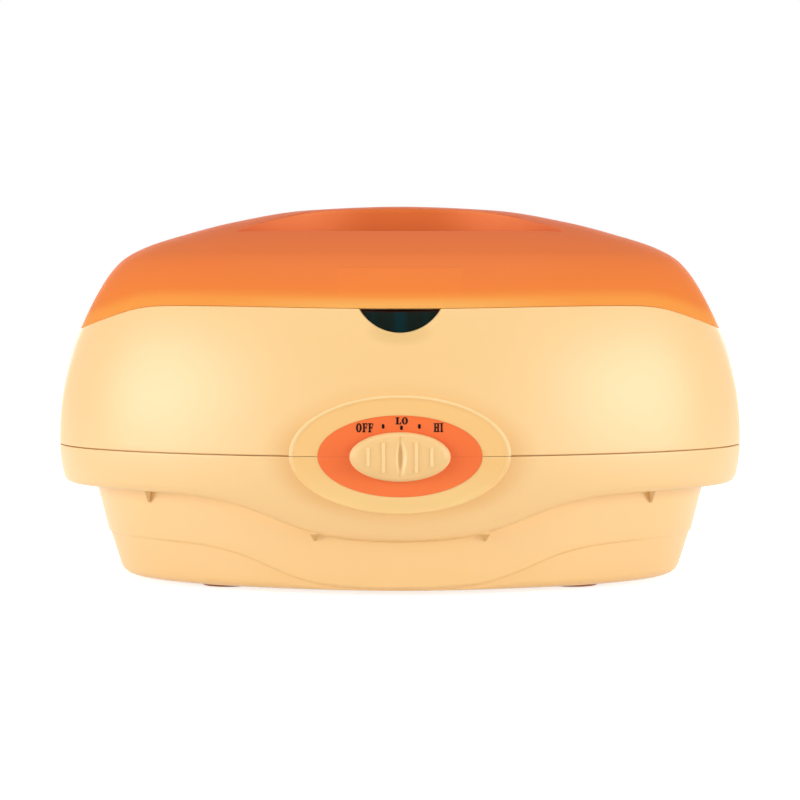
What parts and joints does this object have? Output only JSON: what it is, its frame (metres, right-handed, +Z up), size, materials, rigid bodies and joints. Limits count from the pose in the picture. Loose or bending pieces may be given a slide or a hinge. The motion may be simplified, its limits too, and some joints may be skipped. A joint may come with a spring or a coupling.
{
  "type": "paraffin bath",
  "caption": "Oval paraffin bath with a translucent lift-off lid, a heated tank with a loose grille, a sliding heat control and a lamp window.",
  "frame": {"origin": "under the middle of the whole, on the surface the feet stand on", "axes": "+X along the length to the right of a person facing the control, +Y to the back, +Z up"},
  "size_m": [0.385, 0.235, 0.2088],
  "materials": {
    "housing_plastic": "satin moulded plastic, cream",
    "lid_plastic": "translucent moulded plastic, orange",
    "dial_plastic": "satin moulded plastic, orange",
    "window_plastic": "clear gloss, smoked green",
    "white_plastic": "moulded",
    "lamp_glass": "clear",
    "tank_metal": "drawn and brushed",
    "seal_rubber": "silicone",
    "heater_rubber": "silicone",
    "ceramic_white": "phenolic",
    "steel": "zinc plated",
    "gland_plastic": "moulded",
    "lead_sleeve": "sleeved",
    "brass": "machined",
    "foot_rubber": "moulded",
    "grille_plastic": "moulded"
  },
  "bodies": {
    "housing": {"upper_housing": "housing_plastic", "lower_housing": "housing_plastic", "dial_plate": "dial_plastic", "lamp_window": "window_plastic", "lamp_tray": "white_plastic", "neon_lamp": "lamp_glass", "tank": "tank_metal", "tank_gasket": "seal_rubber", "heater_band": "heater_rubber", "thermostat": "ceramic_white", "thermostat_strap": "steel", "strap_nut_1": "steel", "strap_nut_2": "steel", "thermal_fuse": "ceramic_white", "fuse_clip": "steel", "fuse_nut": "steel", "cord_gland": "gland_plastic", "terminal_block": "white_plastic", "tank_screw_1": "steel", "tank_screw_2": "steel", "tank_screw_3": "steel", "tank_screw_4": "steel", "tank_screw_5": "steel", "tank_screw_6": "steel", "base_screw_1": "steel", "base_screw_2": "steel", "base_screw_3": "steel", "base_screw_4": "steel", "base_screw_5": "steel", "base_screw_6": "steel", "terminal_screw_1": "brass", "terminal_screw_2": "brass", "terminal_screw_3": "brass", "foot_1": "foot_rubber", "foot_2": "foot_rubber", "foot_3": "foot_rubber", "foot_4": "foot_rubber", "heater_lead": "lead_sleeve", "fuse_lead": "lead_sleeve", "thermostat_lead": "lead_sleeve"},
    "lid_body": {"lid": "lid_plastic"},
    "heat_slider": {"slider_knob": "housing_plastic", "slider_carriage": "gland_plastic", "carriage_screw": "steel"},
    "heat_lever": {"thermostat_spindle": "brass", "thermostat_lever": "steel", "lever_nut": "brass"},
    "grille_body": {"tank_grille": "grille_plastic"}
  },
  "joints": [
    {"name": "lid_lift", "type": "slide", "parent": "housing", "child": "lid_body", "axis": [0, 0, 1], "range_m": [0, 0.15]},
    {"name": "heat_slide", "type": "slide", "parent": "housing", "child": "heat_slider", "axis": [1, 0, 0], "range_m": [-0.019, 0.019]},
    {"name": "lever_turn", "type": "hinge", "parent": "housing", "child": "heat_lever", "pos_m": [0, -0.04226, 0.048], "axis": [0, 0, 1], "range_deg": [-22, 22]},
    {"name": "grille_lift", "type": "slide", "parent": "housing", "child": "grille_body", "axis": [0, 0, 1], "range_m": [0, 0.09]}
  ],
  "couplings": [
    {"joint": "lever_turn", "follows": "heat_slide", "rad_per_m": 19.3}
  ]
}
